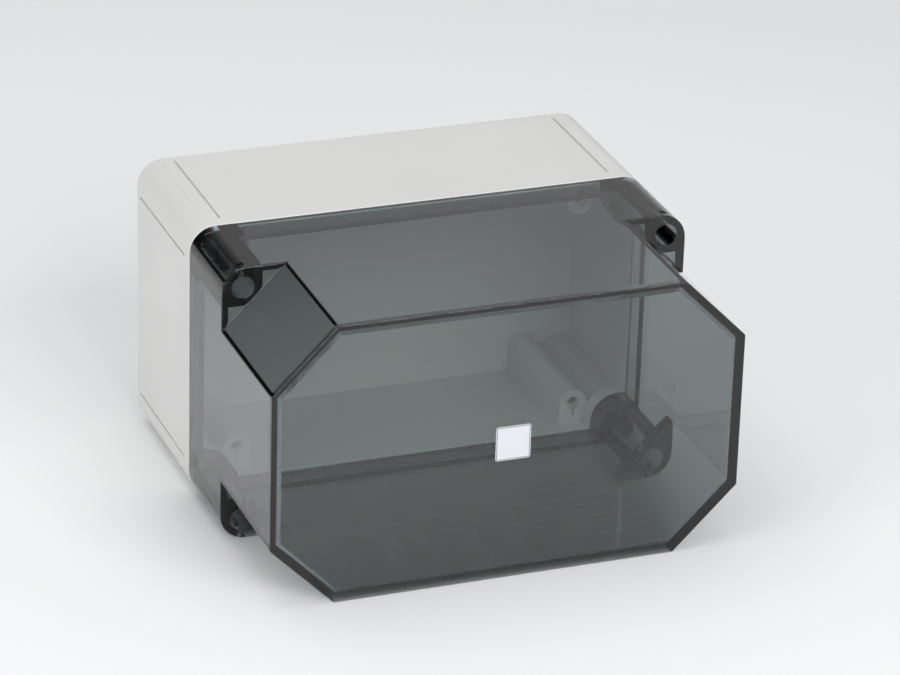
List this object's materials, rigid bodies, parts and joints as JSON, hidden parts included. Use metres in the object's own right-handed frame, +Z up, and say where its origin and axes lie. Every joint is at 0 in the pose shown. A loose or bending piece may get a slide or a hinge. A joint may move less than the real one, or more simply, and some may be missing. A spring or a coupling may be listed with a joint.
{
  "type": "hinged polycarbonate enclosure",
  "caption": "Wall-mounting instrument case with an opaque grey base and a deep smoked clear hinged cover with chamfered corners and recessed corner screws.",
  "frame": {"origin": "under the middle of the case, on the plane of its bottom faces", "axes": "+X to the right along the width, +Y to the back (the wall), +Z up; the clear cover faces -Y"},
  "size_m": [0.182, 0.165, 0.11],
  "materials": {
    "grey_base": "light grey moulded polycarbonate, fine satin texture",
    "smoked_cover": "smoked clear polycarbonate, polished",
    "seal_rubber": "dark foamed seal",
    "steel": "stainless steel",
    "black_screw": "black moulded plastic",
    "grey_bush": "grey moulded plastic"
  },
  "bodies": {
    "base": {"base_shell": "grey_base", "seal": "seal_rubber", "socket_top": "grey_bush", "socket_bottom": "grey_bush", "bush_top": "grey_bush", "bush_bottom": "grey_bush"},
    "hinge_links": {"stem_top": "steel", "stem_bottom": "steel", "clip_top": "steel", "clip_bottom": "steel"},
    "cover": {"cover": "smoked_cover", "fork_top": "steel", "fork_bottom": "steel", "pin_top": "steel", "pin_bottom": "steel", "fork_screw_top": "black_screw", "fork_screw_bottom": "black_screw"},
    "screw_top": {"cover_screw_top": "black_screw", "ring_top": "steel"},
    "screw_bottom": {"cover_screw_bottom": "black_screw", "ring_bottom": "steel"}
  },
  "joints": [
    {"name": "hinge_draw", "type": "slide", "parent": "base", "child": "hinge_links", "axis": [0, -1, 0], "range_m": [0, 0.01605]},
    {"name": "cover_swing", "type": "hinge", "parent": "hinge_links", "child": "cover", "pos_m": [-0.083, 0.0197, 0.055], "axis": [0, 0, -1], "range_deg": [0, 95]},
    {"name": "screw_turn_top", "type": "hinge", "parent": "cover", "child": "screw_top", "pos_m": [0.083, 0.0096, 0.102], "axis": [0, 1, 0], "range_deg": [0, 90]},
    {"name": "screw_turn_bottom", "type": "hinge", "parent": "cover", "child": "screw_bottom", "pos_m": [0.083, 0.0096, 0.008], "axis": [0, 1, 0], "range_deg": [0, 90]}
  ],
  "couplings": [
    {"joint": "hinge_draw", "follows": "cover_swing", "m_per_rad": 0.00964}
  ]
}
